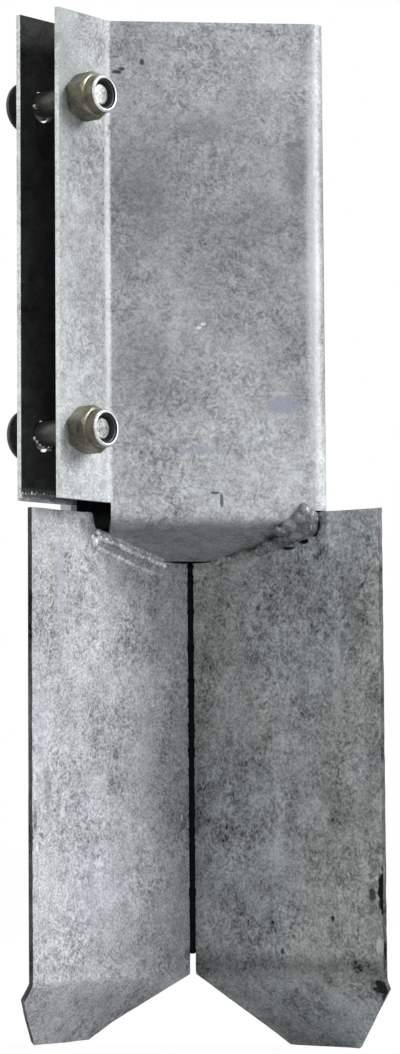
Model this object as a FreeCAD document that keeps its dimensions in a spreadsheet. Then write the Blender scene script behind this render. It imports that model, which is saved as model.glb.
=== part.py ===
"""Concrete-in timber post base: a folded clamp sleeve for a square post, on two welded blades.

Millimetres.  The origin lies on the axis of the sleeve, at the level where its walls bend under.
+Z runs up the post, the front wall faces -Y, and the clamp flanges stand out of the corner
between the front (-Y) and the left (-X) wall.
"""
import FreeCAD, Part
import math
import os

import Sketcher
from FreeCAD import Placement, Rotation, Vector

doc = FreeCAD.newDocument("post_base")

# --------------------------------------------------------------------------------------------
# Driving dimensions: name, value, what it is
# --------------------------------------------------------------------------------------------
DIMENSIONS = [
    ("post_width", 90, "side of the square post"),
    ("post_play", 1, "room between the post and each wall"),
    ("sheet", 2, "thickness of the sleeve's sheet"),
    ("sleeve_height", 191, "top of the sleeve"),
    ("corner_bend", 5, "outer radius of the three folded corners"),
    ("corner_foot", 4.6, "level at which the folded corners end"),
    ("clamp_gap", 15.8, "space between the two flanges where they leave the walls"),
    ("flange_splay", 1.6, "each flange leans away from the other, degrees"),
    ("flange_width", 29.4, "from a flange's bend to its free edge"),
    ("flange_foot", 7.5, "level at which the flanges end"),
    ("flange_bend", 2, "inner radius of the flanges' bend"),
    ("floor_slope", 18.9, "fall of the floor tabs towards the drain, degrees"),
    ("floor_bend", 3.5, "outer radius where the walls turn under"),
    ("drain_width", 24.8, "side of the square drain left open in the floor"),
    ("tab_play", 1.1, "from a diagonal to the cut edge of a floor tab"),
    ("blade_sheet", 2, "thickness of the blades"),
    ("blade_reach", 92.6, "from the axis to a blade's outer edge"),
    ("blade_root", 2.25, "from the axis to a blade's inner edge"),
    ("blade_top", 4.4, "level of a blade's top edge outside the sleeve"),
    ("blade_foot", 170.5, "depth of the line where a blade's foot is bent"),
    ("notch_outer", 58.5, "where the notch in a blade's top edge begins"),
    ("notch_middle", 57, "where the notch turns inwards"),
    ("notch_inner", 52, "where the notch ends"),
    ("notch_step", 1, "depth at which the notch turns inwards"),
    ("notch_drop", 5.3, "depth of the notch"),
    ("foot_bend", 2, "inner radius of the foot's bend"),
    ("bolt_size", 10, "thread of the clamping bolts"),
    ("bolt_reach", 75, "from the sleeve's axis to the bolts"),
    ("bolt_rise", 25.7, "from the flanges' foot to the lower bolt"),
    ("bolt_inset", 32.6, "from the sleeve's top down to the upper bolt"),
    ("bolt_length", 38.2, "under the head to the end"),
    ("bolt_hole", 12, "holes in the flanges"),
    ("hole_drop", 0.8, "how far the pulled-up bolts stand above the middle of their holes"),
    ("head_width", 19.4, "cup head"),
    ("head_crown", 9, "the flatter middle of the cup"),
    ("head_height", 5.5, "cup head"),
    ("head_rim", 0.9, "straight rim under the cup"),
    ("neck_width", 10, "square neck, which stops against the flange"),
    ("neck_length", 6.9, "square neck"),
    ("end_bevel", 1, "bevel at the bolt's end"),
    ("thread_play", 0.05, "room round the bolt in the nut"),
    ("nut_flats", 16, "across the flats of the lock nut"),
    ("nut_hex", 8, "height of the nut's hexagon"),
    ("nut_height", 12.4, "whole height of the lock nut"),
    ("nut_turn", 12, "how far a corner of the nut stands off the upright, degrees"),
    ("collar_width", 14.4, "round collar that holds the insert"),
    ("insert_width", 12.4, "plastic insert in the collar"),
    ("insert_height", 2.8, "plastic insert"),
    ("collar_mouth", 11.2, "opening in the collar's rolled edge"),
    ("seam_start", 17, "from the axis to the inner end of the front welds"),
    ("left_seam", 38, "length of the weld on the left blade"),
    ("left_leg", 4.2, "leg of that weld"),
    ("right_seam", 43, "length of the heavy weld on the right blade"),
    ("right_leg", 5, "leg of that weld"),
    ("bead_crown", 1, "how far a bead swells beyond its legs"),
    ("lump_width", 15, "weld lump that climbs the front wall"),
    ("lump_height", 12.5, "weld lump"),
    ("lump_depth", 11, "weld lump"),
    ("lump_reach", 10.5, "from the right wall to the middle of the lump"),
    ("lump_level", 1.8, "middle of the lump above the bend"),
    ("hidden_seam", 28, "length of the welds behind the blades"),
    ("hidden_leg", 3.6, "leg of those welds"),
    ("spine_leg", 2.5, "leg of the weld down the back of the blades"),
    ("spine_crown", 1.5, "how far that weld stands behind the axis"),
    ("spine_stop", 8, "from the foot's bend to the end of that weld"),
]

# The feet of the two blades, cut and bent by hand: no two of these are quite alike.
FEET = {
    "left": {"angle": 35, "edge": 7.5, "depth": 28.5, "toe": 74, "heel": 43, "clip_in": 35, "clip_down": 21},
    "right": {"angle": 31, "edge": 4.5, "depth": 31, "toe": 69, "heel": 36, "clip_in": 31, "clip_down": 26},
}

sizes = doc.addObject("Spreadsheet::Sheet", "Sizes")
row = 0
for name, value, meaning in DIMENSIONS:
    row += 1
    sizes.set("A%d" % row, name)
    sizes.set("B%d" % row, str(value))
    sizes.set("C%d" % row, meaning)
    sizes.setAlias("B%d" % row, name)
for side, foot in FEET.items():
    for name, value in foot.items():
        row += 1
        sizes.set("A%d" % row, "%s_foot_%s" % (side, name))
        sizes.set("B%d" % row, str(value))
        sizes.setAlias("B%d" % row, "%s_foot_%s" % (side, name))
doc.recompute()


def size(name):
    """The value of one cell of the sheet."""
    return float(getattr(sizes, name))


# Half the sleeve's outside and inside width, as expressions and as numbers
OUTER = "(Sizes.post_width / 2 + Sizes.post_play + Sizes.sheet)"
INNER = "(Sizes.post_width / 2 + Sizes.post_play)"
outer = size("post_width") / 2 + size("post_play") + size("sheet")
inner = outer - size("sheet")
# From the diagonal plane to a flange's outside, where it leaves the wall
ROOT = "(Sizes.clamp_gap / 2 + Sizes.sheet)"
# Where a flange's outside and inside leave the walls, measured along the wall
LEAN = "(45 + Sizes.flange_splay)"
BEND_OUT = "(sqrt(2) * %s - %s)" % (ROOT, OUTER)
BEND_IN = "(%s - Sizes.sheet * tan(%s / 2))" % (BEND_OUT, LEAN)
bend_out = math.sqrt(2) * (size("clamp_gap") / 2 + size("sheet")) - outer
bend_in = bend_out - size("sheet") * math.tan(math.radians(45 + size("flange_splay")) / 2)
# From the diagonal plane to where a nut or a neck stops against a leaning flange
SEAT = "(%s + (Sizes.bolt_reach + %%s - sqrt(2) * %s + %s) * tan(Sizes.flange_splay))" % (ROOT, OUTER, ROOT)
NUT_SEAT = SEAT % "Sizes.nut_flats / sqrt(3)"
NECK_SEAT = SEAT % "Sizes.neck_width / 2"
# The floor: a tab's tip, how far it falls, and the angle of its fall
TIP = "(Sizes.drain_width / 2)"
FALL = "((%s - %s) * tan(Sizes.floor_slope))" % (OUTER, TIP)

# The levels of the two bolts
LOW = "(Sizes.flange_foot + Sizes.bolt_rise)"
HIGH = "(Sizes.sleeve_height - Sizes.bolt_inset)"

DIAGONAL = Vector(-1, -1, 0).normalize()    # from the axis through the open corner
CROSSWISE = Vector(1, -1, 0).normalize()    # square to the flanges, towards the nuts


# --------------------------------------------------------------------------------------------
# Helpers
# --------------------------------------------------------------------------------------------
def new_body(label):
    body = doc.addObject("PartDesign::Body", label + "_body")
    body.Label = label
    return body


def new_sketch(body, name, plane):
    """A sketch on one of the body's own origin planes."""
    sketch = body.newObject("Sketcher::SketchObject", name)
    support = [item for item in body.Origin.OriginFeatures if item.Role == plane][0]
    sketch.AttachmentSupport = [(support, "")]
    sketch.MapMode = "FlatFace"
    return sketch


def outline(sketch, corners):
    """A closed run of straight lines; each corner is a pair of expressions of the sheet."""
    count = len(corners)
    first = sketch.GeometryCount
    start = [Vector(math.cos(2 * math.pi * i / count), math.sin(2 * math.pi * i / count), 0) * outer
             for i in range(count)]
    for i in range(count):
        sketch.addGeometry(Part.LineSegment(start[i], start[(i + 1) % count]), False)
    for i in range(count):
        after = first + (i + 1) % count
        sketch.addConstraint(Sketcher.Constraint("Coincident", first + i, 2, after, 1))
    for i, (across, upward) in enumerate(corners):
        for kind, at, expression in (("DistanceX", start[i].x, across), ("DistanceY", start[i].y, upward)):
            index = sketch.addConstraint(Sketcher.Constraint(kind, -1, 1, first + i, 1, at))
            sketch.setExpression("Constraints[%d]" % index, expression)


def circle(sketch, across, upward, diameter):
    """A circle whose centre and diameter are expressions of the sheet."""
    index = sketch.addGeometry(Part.Circle(Vector(1, 1, 0), Vector(0, 0, 1), 1), False)
    for kind, expression in (("DistanceX", across), ("DistanceY", upward)):
        number = sketch.addConstraint(Sketcher.Constraint(kind, -1, 1, index, 3, 1))
        sketch.setExpression("Constraints[%d]" % number, expression)
    number = sketch.addConstraint(Sketcher.Constraint("Diameter", index, 2))
    sketch.setExpression("Constraints[%d]" % number, diameter)


def pad(body, sketch, length, midplane=False):
    feature = body.newObject("PartDesign::Pad", sketch.Name + "_pad")
    feature.Profile = sketch
    feature.Midplane = midplane
    feature.setExpression("Length", length)
    doc.recompute()
    return feature


def cut_through(body, sketch):
    """A pocket right through the body, both ways from the sketch."""
    before = body.Shape.Volume
    feature = body.newObject("PartDesign::Pocket", sketch.Name + "_cut")
    feature.Profile = sketch
    feature.Type = 1
    feature.Midplane = True
    doc.recompute()
    if body.Shape.Volume >= before:
        raise RuntimeError("nothing cut by " + feature.Name)
    return feature


def round_edges(body, along, places, radius):
    """Round the straight edges along one axis that pass through the given places."""
    def is_chosen(edge):
        ends = [vertex.Point for vertex in edge.Vertexes]
        if len(ends) != 2 or abs((ends[1] - ends[0]).normalize().dot(along)) < 0.999:
            return False
        flat = ends[0] - along * ends[0].dot(along)
        return any((flat - place).Length < 0.01 for place in places)

    base = body.Tip
    chosen = ["Edge%d" % (i + 1) for i, edge in enumerate(base.Shape.Edges) if is_chosen(edge)]
    if len(chosen) != len(places):
        raise RuntimeError("edges to round in %s: %d of %d" % (body.Label, len(chosen), len(places)))
    feature = body.newObject("PartDesign::Fillet", body.Label + "_round")
    feature.Base = (base, chosen)
    feature.setExpression("Radius", radius)
    doc.recompute()
    return feature


def primitive(kind, name, **expressions):
    """A Part primitive whose sizes are expressions; Placement_Base_z stands for Placement.Base.z."""
    item = doc.addObject("Part::" + kind, name)
    for prop, expression in expressions.items():
        item.setExpression(prop.replace("_", "."), expression)
    return item


def combine(kind, name, *items):
    """Fuse or intersect several objects."""
    result = doc.addObject("Part::" + kind, name)
    result.Shapes = list(items)
    return result


def cut(name, base, tool):
    result = doc.addObject("Part::Cut", name)
    result.Base = base
    result.Tool = tool
    return result


# --------------------------------------------------------------------------------------------
# Sleeve: one folded sheet, four walls, two clamp flanges and four floor tabs
# --------------------------------------------------------------------------------------------
def make_shell():
    """The walls and flanges, folded from a strip, with the bolt holes."""
    body = new_body("sleeve_shell")
    plan = new_sketch(body, "sleeve_plan", "XY_Plane")
    plan.setExpression("AttachmentOffset.Base.z", "Sizes.corner_foot")
    # The free edge of the front flange; the left one is its mirror image in the diagonal
    out_x = "(%s - Sizes.flange_width * cos(%s))" % (BEND_OUT, LEAN)
    out_y = "(-%s - Sizes.flange_width * sin(%s))" % (OUTER, LEAN)
    in_x = "(%s - Sizes.sheet * sin(%s))" % (out_x, LEAN)
    in_y = "(%s + Sizes.sheet * cos(%s))" % (out_y, LEAN)
    outline(plan, [
        (out_x, out_y),
        (BEND_OUT, "-" + OUTER),
        (OUTER, "-" + OUTER),
        (OUTER, OUTER),
        ("-" + OUTER, OUTER),
        ("-" + OUTER, BEND_OUT),
        (out_y, out_x),
        (in_y, in_x),
        ("-" + INNER, BEND_IN),
        ("-" + INNER, INNER),
        (INNER, INNER),
        (INNER, "-" + INNER),
        (BEND_IN, "-" + INNER),
        (in_x, in_y),
    ])
    pad(body, plan, "Sizes.sleeve_height - Sizes.corner_foot")
    up = Vector(0, 0, 1)
    for half, radius in ((outer, "Sizes.corner_bend"), (inner, "Sizes.corner_bend - Sizes.sheet")):
        places = [Vector(half, -half, 0), Vector(half, half, 0), Vector(-half, half, 0)]
        round_edges(body, up, places, radius)
    round_edges(body, up, [Vector(bend_out, -outer, 0), Vector(-outer, bend_out, 0)], "Sizes.flange_bend")
    round_edges(body, up, [Vector(bend_in, -inner, 0), Vector(-inner, bend_in, 0)],
                "Sizes.flange_bend + Sizes.sheet")
    holes = new_sketch(body, "bolt_holes", "XZ_Plane")
    holes.AttachmentOffset = Placement(Vector(), Rotation(Vector(0, 1, 0), 45))
    for level in (LOW, HIGH):
        circle(holes, "-Sizes.bolt_reach", level + " - Sizes.hole_drop", "Sizes.bolt_hole")
    cut_through(body, holes)
    return body


def make_floor_tab(number):
    """One wall's foot, bent under into a sloping tab with mitred sides."""
    body = new_body("floor_tab_%d" % number)
    side = new_sketch(body, "tab_side_%d" % number, "YZ_Plane")
    slope = "Sizes.floor_slope"
    outline(side, [
        ("-" + OUTER, "Sizes.corner_foot"),
        ("-" + OUTER, "0"),
        ("-" + TIP, "-" + FALL),
        ("-%s + Sizes.sheet * sin(%s)" % (TIP, slope), "-%s + Sizes.sheet * cos(%s)" % (FALL, slope)),
        ("-" + INNER, "Sizes.sheet * (1 - sin(%s)) / cos(%s)" % (slope, slope)),
        ("-" + INNER, "Sizes.corner_foot"),
    ])
    pad(body, side, "2 * (%s - Sizes.corner_bend - Sizes.tab_play)" % OUTER, midplane=True)
    slope_angle = math.radians(size("floor_slope"))
    crease = size("sheet") * (1 - math.sin(slope_angle)) / math.cos(slope_angle)
    along = Vector(1, 0, 0)
    round_edges(body, along, [Vector(0, -outer, 0)], "Sizes.floor_bend")
    round_edges(body, along, [Vector(0, -inner, crease)], "Sizes.floor_bend - Sizes.sheet")
    mitres = new_sketch(body, "tab_mitres_%d" % number, "XY_Plane")
    edge = "sqrt(2) * Sizes.tab_play"
    near = "Sizes.drain_width / 4"
    for sign in ("", "-"):
        outline(mitres, [
            ("%s(%s - %s)" % (sign, near, edge), "-%s" % near),
            (sign + OUTER, "-%s - %s" % (OUTER, edge)),
            (sign + OUTER, "-%s" % near),
        ])
    cut_through(body, mitres)
    body.Placement = Placement(Vector(), Rotation(Vector(0, 0, 1), 90 * number))
    return body


def make_sleeve():
    tabs = [make_floor_tab(number) for number in range(4)]
    folded = combine("MultiFuse", "sleeve_folded", make_shell(), *tabs)
    folded.Refine = True
    # Below the flanges the open corner is cut away, from the bend lines outwards
    reach = "(%s + Sizes.flange_width)" % OUTER
    corner = primitive("Box", "open_corner", Length="%s + %s" % (reach, BEND_OUT),
                       Width="%s + %s" % (reach, BEND_OUT), Height="Sizes.flange_foot + %s" % OUTER,
                       Placement_Base_x="-" + reach, Placement_Base_y="-" + reach,
                       Placement_Base_z="-" + OUTER)
    sleeve = cut("sleeve_sheet", folded, corner)
    sleeve.Label = "sleeve"
    return sleeve


# --------------------------------------------------------------------------------------------
# Blades: flat plates on the diagonals under the sleeve, with a bent foot for the concrete
# --------------------------------------------------------------------------------------------
def make_blade(side, heading, bend_way):
    """A blade in its own frame, X outwards along the plate; bend_way is the way its foot turns."""
    body = new_body(side + "_blade")
    start = "Sizes.blade_foot - 2 * (Sizes.foot_bend + Sizes.blade_sheet)"
    plate = new_sketch(body, side + "_plate", "XZ_Plane")
    outline(plate, [
        ("Sizes.blade_root", "-(%s)" % start),
        ("Sizes.blade_reach", "-(%s)" % start),
        ("Sizes.blade_reach", "Sizes.blade_top"),
        ("Sizes.notch_outer", "Sizes.blade_top"),
        ("Sizes.notch_middle", "-Sizes.notch_step"),
        ("Sizes.notch_inner", "-Sizes.notch_drop"),
        ("sqrt(2) * (%s - Sizes.notch_drop / tan(Sizes.floor_slope))" % OUTER, "-Sizes.notch_drop"),
        ("sqrt(2) * " + TIP, "-" + FALL),
        ("Sizes.blade_root", "-" + FALL),
    ])
    pad(body, plate, "Sizes.blade_sheet", midplane=True)

    foot = "Sizes.%s_foot_" % side
    half = "Sizes.blade_sheet / 2"
    shift = "%s * tan(%sangle / 2)" % (half, foot)
    section = new_sketch(body, side + "_foot_section", "YZ_Plane")
    section.setExpression("AttachmentOffset.Base.z", "Sizes.blade_root")
    # the convex side, away from the bend, then the concave side
    convex = -bend_way
    end_y = "%d * %sdepth * sin(%sangle)" % (bend_way, foot, foot)
    end_z = "-Sizes.blade_foot - %sdepth * cos(%sangle)" % (foot, foot)
    outline(section, [
        ("%d * %s" % (convex, half), "-(%s)" % start),
        ("%d * %s" % (convex, half), "-Sizes.blade_foot - " + shift),
        ("%s + %d * %s * cos(%sangle)" % (end_y, convex, half, foot),
         "%s - %s * sin(%sangle)" % (end_z, half, foot)),
        ("%s - %d * %s * cos(%sangle)" % (end_y, convex, half, foot),
         "%s + %s * sin(%sangle)" % (end_z, half, foot)),
        ("%d * %s" % (bend_way, half), "-Sizes.blade_foot + " + shift),
        ("%d * %s" % (bend_way, half), "-(%s)" % start),
    ])
    pad(body, section, "Sizes.blade_reach - Sizes.blade_root")
    shift_now = size("blade_sheet") / 2 * math.tan(math.radians(size(side + "_foot_angle")) / 2)
    along = Vector(1, 0, 0)
    flat_half = size("blade_sheet") / 2
    level = -size("blade_foot")
    round_edges(body, along, [Vector(0, convex * flat_half, level - shift_now)],
                "Sizes.foot_bend + Sizes.blade_sheet")
    round_edges(body, along, [Vector(0, bend_way * flat_half, level + shift_now)], "Sizes.foot_bend")

    # the foot's corners are clipped square to its own plane
    clips = new_sketch(body, side + "_foot_clips", "XZ_Plane")
    clips.AttachmentOffset = Placement(Vector(), Rotation(Vector(bend_way, 0, 0), 1))
    clips.setExpression("AttachmentOffset.Base.y", "-Sizes.blade_foot")
    clips.setExpression("AttachmentOffset.Rotation.Angle", foot + "angle")
    outline(clips, [
        ("Sizes.blade_reach", "-%sedge" % foot),
        (foot + "toe", "-%sdepth" % foot),
        ("Sizes.blade_reach", "-%sdepth" % foot),
    ])
    outline(clips, [
        ("Sizes.blade_root", "0"),
        (foot + "clip_in", "-%sclip_down" % foot),
        (foot + "heel", "-%sdepth" % foot),
        ("Sizes.blade_root", "-%sdepth" % foot),
    ])
    cut_through(body, clips)
    body.Placement = Placement(Vector(), Rotation(Vector(0, 0, 1), heading))
    return body


# --------------------------------------------------------------------------------------------
# Welds
# --------------------------------------------------------------------------------------------
def fillet_weld(name, length, leg, shares, swap, flip):
    """A weld in the corner between a blade's face and the underside of a floor tab.

    It is worked out for the left blade's front face; swap turns it to the back of that blade,
    flip to the right blade.  Each share is the leg's height there, from the inner end outwards.
    """
    face = size("blade_sheet") / 2
    slope = math.tan(math.radians(size("floor_slope")))

    def under_tab(along, across):
        """The point of the tab's underside at a place on the blade and off its plane."""
        spot = DIAGONAL * along + CROSSWISE * across
        return Vector(spot.x, spot.y, (-outer - spot.y) * slope)

    def turned(point):
        x, y = (point.y, point.x) if swap else (point.x, point.y)
        return Vector(-x if flip else x, y, point.z)

    sections = []
    for number, share in enumerate(shares):
        along = size("seam_start") + length * number / (len(shares) - 1)
        corner = under_tab(along, face)
        down = corner - Vector(0, 0, 1) * leg * share
        out = under_tab(along, face + leg * share)
        swell = ((down + out) / 2 - corner).normalize() * size("bead_crown") * share
        low = down * 2 / 3 + out / 3 + swell
        high = down / 3 + out * 2 / 3 + swell
        sections.append(Part.makePolygon([turned(point) for point in (corner, down, low, high, out, corner)]))
    weld = doc.addObject("Part::Feature", name)
    weld.Shape = Part.makeLoft(sections, True, True)
    return weld


def make_right_seam(sleeve, blade):
    """The heavy weld, with the lump that climbs the front wall where the blade leaves it."""
    bead = fillet_weld("right_bead", size("right_seam"), size("right_leg"),
                       (0.3, 0.8, 1, 0.85, 1), False, True)
    # Eight-sided slices from inside the wall outwards: how far out, and how wide there
    slices = []
    for out, share in ((-0.2, 1), (0.25, 0.95), (0.65, 0.72), (1, 0.3)):
        corners = []
        for turn in range(22, 383, 45):
            corners.append(Vector(
                outer - size("lump_reach") + size("lump_width") / 2 * share * math.cos(math.radians(turn)),
                size("sheet") / 2 - outer - size("lump_depth") / 2 * out,
                size("lump_level") + size("lump_height") / 2 * share * math.sin(math.radians(turn))))
        corners[-1] = corners[0]
        slices.append(Part.makePolygon(corners))
    lump = doc.addObject("Part::Feature", "right_lump")
    lump.Shape = Part.makeLoft(slices, True, True)
    whole = combine("MultiFuse", "right_bead_and_lump", bead, lump)
    metal = combine("MultiFuse", "right_seam_neighbours", sleeve, blade)
    weld = cut("right_seam_trimmed", whole, metal)
    weld.Label = "right_seam_weld"
    return weld


def make_spine_weld():
    """The weld that joins the blades' inner edges, laid down from behind."""
    body = new_body("spine_weld")
    section = new_sketch(body, "spine_section", "XY_Plane")
    section.setExpression("AttachmentOffset.Base.z", "-(Sizes.blade_foot - Sizes.spine_stop)")
    root = "(Sizes.blade_root / sqrt(2))"
    half = "(Sizes.blade_sheet / 2 / sqrt(2))"
    leg = "(Sizes.spine_leg / sqrt(2))"
    right = [
        (root, "-" + root),
        ("%s + %s" % (root, half), "-%s + %s" % (root, half)),
        ("%s + %s + %s" % (root, half, leg), "-%s + %s - %s" % (root, half, leg)),
        (root, "Sizes.spine_crown"),
    ]
    left = [("-(%s)" % across, upward) for across, upward in reversed(right)]
    outline(section, right + left)
    pad(body, section, "Sizes.blade_foot - Sizes.spine_stop - " + FALL)
    root_now = size("blade_root") / math.sqrt(2)
    crown = size("spine_crown")
    round_edges(body, Vector(0, 0, 1), [Vector(root_now, crown, 0), Vector(-root_now, crown, 0)],
                "Sizes.spine_crown * 0.9")
    return body


# --------------------------------------------------------------------------------------------
# Clamping bolts, lock nuts and their plastic inserts
# --------------------------------------------------------------------------------------------
def seat(item, level):
    """Turn an item from its own axis to the bolt's, and move it to the bolt's place."""
    item.Placement = Placement(Vector(), Rotation(Vector(0, 0, 1), DIAGONAL, CROSSWISE, "ZXY"))
    item.setExpression("Placement.Base.x", "-Sizes.bolt_reach / sqrt(2)")
    item.setExpression("Placement.Base.y", "-Sizes.bolt_reach / sqrt(2)")
    item.setExpression("Placement.Base.z", level)


def make_bolt(name, level):
    """A cup-head bolt; its square neck stops against the outside of the back flange."""
    neck_start = "(%s + Sizes.neck_length)" % NECK_SEAT
    cup = "(Sizes.head_height - Sizes.head_rim)"
    shoulder = primitive("Cone", name + "_shoulder", Radius1="Sizes.head_width / 2",
                         Radius2="(Sizes.head_width + Sizes.head_crown) / 4 + %s / 8" % cup,
                         Height=cup + " / 2", Placement_Base_z="-%s - Sizes.head_rim" % neck_start)
    crown = primitive("Cone", name + "_crown", Height=cup + " / 2", Radius2="Sizes.head_crown / 2",
                      Radius1="(Sizes.head_width + Sizes.head_crown) / 4 + %s / 8" % cup,
                      Placement_Base_z="-%s - Sizes.head_rim - %s / 2" % (neck_start, cup))
    for cone in (shoulder, crown):
        cone.Placement = Placement(cone.Placement.Base, Rotation(Vector(1, 0, 0), 180))
    rim = primitive("Cylinder", name + "_rim", Radius="Sizes.head_width / 2", Height="Sizes.head_rim",
                    Placement_Base_z="-%s - Sizes.head_rim" % neck_start)
    neck = primitive("Box", name + "_neck", Length="Sizes.neck_width", Width="Sizes.neck_width",
                     Height="Sizes.neck_length", Placement_Base_x="-Sizes.neck_width / 2",
                     Placement_Base_y="-Sizes.neck_width / 2", Placement_Base_z="-" + neck_start)
    shank = primitive("Cylinder", name + "_shank", Radius="Sizes.bolt_size / 2",
                      Height="Sizes.bolt_length - Sizes.end_bevel", Placement_Base_z="-" + neck_start)
    end = primitive("Cone", name + "_end", Radius1="Sizes.bolt_size / 2",
                    Radius2="Sizes.bolt_size / 2 - Sizes.end_bevel", Height="Sizes.end_bevel",
                    Placement_Base_z="-%s + Sizes.bolt_length - Sizes.end_bevel" % neck_start)
    bolt = combine("MultiFuse", name + "_turned", crown, shoulder, rim, neck, shank, end)
    bolt.Refine = True
    bolt.Label = name
    seat(bolt, level)
    return bolt


INSERT_FOOT = "(%s + Sizes.nut_hex)" % NUT_SEAT


def make_nut(name, level):
    """A hexagon with bevelled corners under a round collar, bored for the bolt and the insert."""
    spread = "Sizes.nut_flats / 2 + Sizes.nut_hex * sqrt(3)"
    hexagon = primitive("Prism", name + "_hexagon", Circumradius="Sizes.nut_flats / sqrt(3)",
                        Height="Sizes.nut_hex", Placement_Base_z=NUT_SEAT)
    hexagon.Polygon = 6
    hexagon.setExpression("Placement.Rotation.Angle", "Sizes.nut_turn")
    upper = primitive("Cone", name + "_upper_bevel", Radius1=spread, Radius2="Sizes.nut_flats / 2",
                      Height="Sizes.nut_hex", Placement_Base_z=NUT_SEAT)
    lower = primitive("Cone", name + "_lower_bevel", Radius1="Sizes.nut_flats / 2", Radius2=spread,
                      Height="Sizes.nut_hex", Placement_Base_z=NUT_SEAT)
    body = combine("MultiCommon", name + "_bevelled", hexagon, upper, lower)
    rolled = "(Sizes.collar_width - Sizes.collar_mouth) / 4"
    collar = primitive("Cylinder", name + "_collar", Radius="Sizes.collar_width / 2",
                       Height="Sizes.nut_height - Sizes.nut_hex - " + rolled,
                       Placement_Base_z="%s + Sizes.nut_hex" % NUT_SEAT)
    lip = primitive("Cone", name + "_lip", Radius1="Sizes.collar_width / 2",
                    Radius2="Sizes.collar_width / 2 - " + rolled, Height=rolled,
                    Placement_Base_z="%s + Sizes.nut_height - %s" % (NUT_SEAT, rolled))
    bore = primitive("Cylinder", name + "_bore", Radius="Sizes.bolt_size / 2 + Sizes.thread_play",
                     Height="Sizes.nut_height", Placement_Base_z=NUT_SEAT)
    room = primitive("Cylinder", name + "_room", Radius="Sizes.insert_width / 2",
                     Height="Sizes.insert_height", Placement_Base_z=INSERT_FOOT)
    mouth = primitive("Cylinder", name + "_mouth", Radius="Sizes.collar_mouth / 2",
                      Height="Sizes.nut_height - Sizes.nut_hex",
                      Placement_Base_z="%s + Sizes.nut_hex" % NUT_SEAT)
    solid = combine("MultiFuse", name + "_solid", body, collar, lip)
    hollow = combine("MultiFuse", name + "_hollow", bore, room, mouth)
    nut = cut(name + "_bored", solid, hollow)
    nut.Label = name
    seat(nut, level)
    return nut


def make_insert(name, level):
    """The plastic ring that the collar holds round the bolt's end."""
    ring = primitive("Cylinder", name + "_ring", Radius="Sizes.insert_width / 2 - Sizes.thread_play",
                     Height="Sizes.insert_height", Placement_Base_z=INSERT_FOOT)
    hole = primitive("Cylinder", name + "_hole", Radius="Sizes.bolt_size / 2 + Sizes.thread_play",
                     Height="Sizes.insert_height", Placement_Base_z=INSERT_FOOT)
    insert = cut(name + "_cut", ring, hole)
    insert.Label = name
    seat(insert, level)
    return insert


# --------------------------------------------------------------------------------------------
# The whole
# --------------------------------------------------------------------------------------------
sleeve = make_sleeve()
left_blade = make_blade("left", -135, -1)
right_blade = make_blade("right", -45, 1)
left_seam = fillet_weld("left_bead", size("left_seam"), size("left_leg"),
                        (0.4, 0.9, 0.85, 1, 0.6), False, False)
left_back = fillet_weld("left_back_bead", size("hidden_seam"), size("hidden_leg"),
                        (1, 1), True, False)
right_back = fillet_weld("right_back_bead", size("hidden_seam"), size("hidden_leg"),
                         (1, 1), True, True)
for bead in (left_seam, left_back, right_back):
    bead.Label = bead.Name.replace("_back_bead", "_back_weld").replace("_bead", "_seam_weld")
nodes = [sleeve, left_blade, right_blade, make_spine_weld(), left_seam, left_back, right_back]
nodes.append(make_right_seam(sleeve, right_blade))
for prefix, level in (("lower", LOW), ("upper", HIGH)):
    nodes.append(make_bolt(prefix + "_bolt", level))
    nodes.append(make_nut(prefix + "_nut", level))
    nodes.append(make_insert(prefix + "_nut_insert", level))
doc.recompute()

for item in doc.Objects:
    if "Invalid" in item.State or "Error" in item.State:
        raise RuntimeError("%s failed: %s" % (item.Name, item.State))
for node in nodes:
    if node.Shape.isNull() or not node.Shape.isValid() or len(node.Shape.Solids) != 1:
        raise RuntimeError("bad shape in " + node.Label)

os.makedirs("parts", exist_ok=True)
for node in nodes:
    node.Shape.exportStep("parts/%s.step" % node.Label)
    box = node.Shape.BoundBox
    print("%-18s %9.1f mm3  x %7.2f %7.2f  y %7.2f %7.2f  z %8.2f %8.2f" % (
        node.Label, node.Shape.Volume, box.XMin, box.XMax, box.YMin, box.YMax, box.ZMin, box.ZMax))
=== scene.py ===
"""A galvanised base for a square timber post: clamp sleeve, blades, welds, bolts and nuts."""
import math

import bmesh
import bpy
from mathutils import Matrix, Vector, noise


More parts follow.
